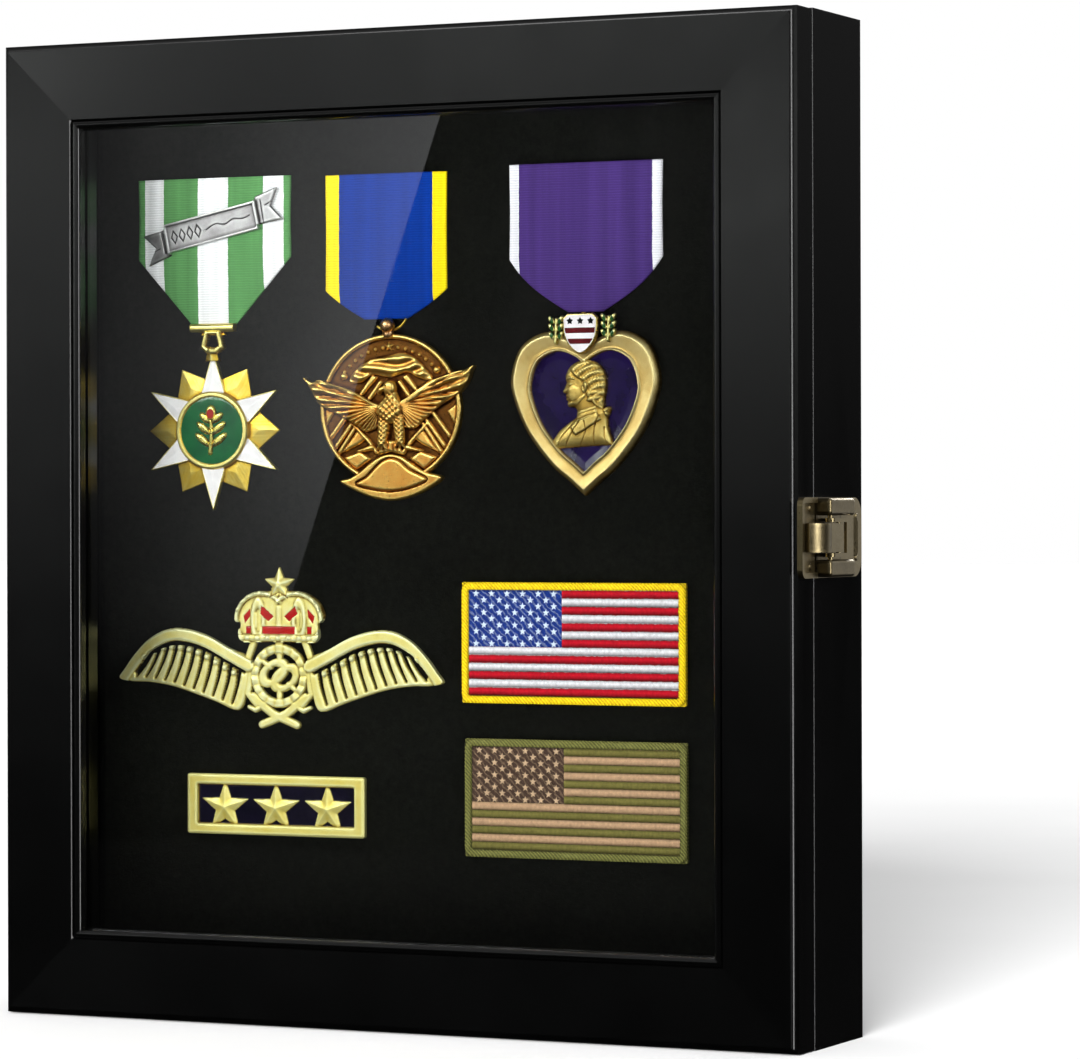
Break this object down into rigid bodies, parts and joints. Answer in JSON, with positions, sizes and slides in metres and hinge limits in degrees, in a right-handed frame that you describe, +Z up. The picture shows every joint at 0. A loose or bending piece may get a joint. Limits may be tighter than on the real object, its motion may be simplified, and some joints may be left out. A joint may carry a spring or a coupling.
{
  "type": "shadow box",
  "caption": "Hinged shadow box for pinned awards: a black mitred case with a glazed front door, side toggle latch, felt-covered pin board, medals, badges and patches.",
  "frame": {"origin": "centre of the case's footprint, on the surface it stands on", "axes": "+X to the viewer's right across the door, +Y from the door to the back, +Z up"},
  "size_m": [0.3439, 0.066, 0.375],
  "materials": {
    "black_lacquered_wood": "satin black lacquer",
    "black_bead": "satin black paint",
    "black_hardboard": "matt black hardboard",
    "pin_board_fibre": "soft fibreboard",
    "black_felt": "black felt",
    "clear_glass": "clear polished glass",
    "antique_brass": "antique brass, darkened",
    "zinc_steel": "zinc plated",
    "green_white_ribbon": "woven ribbed ribbon, green and white stripes",
    "blue_yellow_ribbon": "woven ribbed ribbon, blue with yellow edges",
    "purple_white_ribbon": "woven ribbed ribbon, purple with white edges",
    "antique_silver": "antique silver plate",
    "enamel_gold": "gilt with hard enamel",
    "bright_gold": "bright gilt",
    "bronze_gold": "bronze gilt",
    "shield_enamel": "enamelled shield",
    "colour_embroidery": "machine embroidery, red, white, blue and yellow",
    "subdued_embroidery": "machine embroidery, olive and brown"
  },
  "bodies": {
    "case": {"back_panel": "black_hardboard", "back_panel_screws": "zinc_steel", "case_bottom": "black_lacquered_wood", "case_side_left": "black_lacquered_wood", "case_side_right": "black_lacquered_wood", "case_top": "black_lacquered_wood", "colour_flag_patch": "colour_embroidery", "eagle_medal_pendant": "bronze_gold", "eagle_medal_ribbon": "blue_yellow_ribbon", "eagle_medal_ring": "bronze_gold", "felt_cover": "black_felt", "hanger_plate_left": "zinc_steel", "hanger_plate_right": "zinc_steel", "hanger_screws": "zinc_steel", "heart_medal_pendant": "enamel_gold", "heart_medal_ribbon": "purple_white_ribbon", "heart_medal_ring": "bright_gold", "heart_medal_shield": "shield_enamel", "hinge_case_leaf_lower": "antique_brass", "hinge_case_leaf_upper": "antique_brass", "hinge_case_screws": "antique_brass", "hinge_pin_lower": "antique_brass", "hinge_pin_upper": "antique_brass", "latch_base_nails": "antique_brass", "latch_base_plate": "antique_brass", "latch_lever_rivets": "antique_brass", "pin_board": "pin_board_fibre", "star_bar_badge": "bright_gold", "star_medal_clasp": "antique_silver", "star_medal_pendant": "enamel_gold", "star_medal_ribbon": "green_white_ribbon", "star_medal_ring": "bright_gold", "subdued_flag_patch": "subdued_embroidery", "wings_badge": "bright_gold"},
    "door": {"door_rail_bottom": "black_lacquered_wood", "door_rail_top": "black_lacquered_wood", "door_stile_left": "black_lacquered_wood", "door_stile_right": "black_lacquered_wood", "glass_pane": "clear_glass", "glazing_bead_bottom": "black_bead", "glazing_bead_left": "black_bead", "glazing_bead_right": "black_bead", "glazing_bead_top": "black_bead", "hinge_door_leaf_lower": "antique_brass", "hinge_door_leaf_upper": "antique_brass", "hinge_door_screws": "antique_brass", "latch_keeper": "antique_brass", "latch_keeper_nails": "antique_brass"},
    "latch_lever": {"latch_lever": "antique_brass", "latch_tongue_pin": "antique_brass"},
    "latch_tongue": {"latch_tongue": "antique_brass"}
  },
  "joints": [
    {"name": "door_hinge", "type": "hinge", "parent": "case", "child": "door", "pos_m": [-0.168, -0.01635, 0.1875], "axis": [0, 0, -1], "range_deg": [0, 170]},
    {"name": "latch_lever_swing", "type": "hinge", "parent": "case", "child": "latch_lever", "pos_m": [0.1699, -0.011, 0.1845], "axis": [0, 0, -1], "range_deg": [0, 105]},
    {"name": "latch_tongue_swing", "type": "hinge", "parent": "latch_lever", "child": "latch_tongue", "pos_m": [0.1698, -0.003, 0.1845], "axis": [0, 0, -1], "range_deg": [-116, 0]}
  ],
  "couplings": [
    {"joint": "latch_tongue_swing", "follows": "latch_lever_swing", "ratio": -1.1}
  ]
}
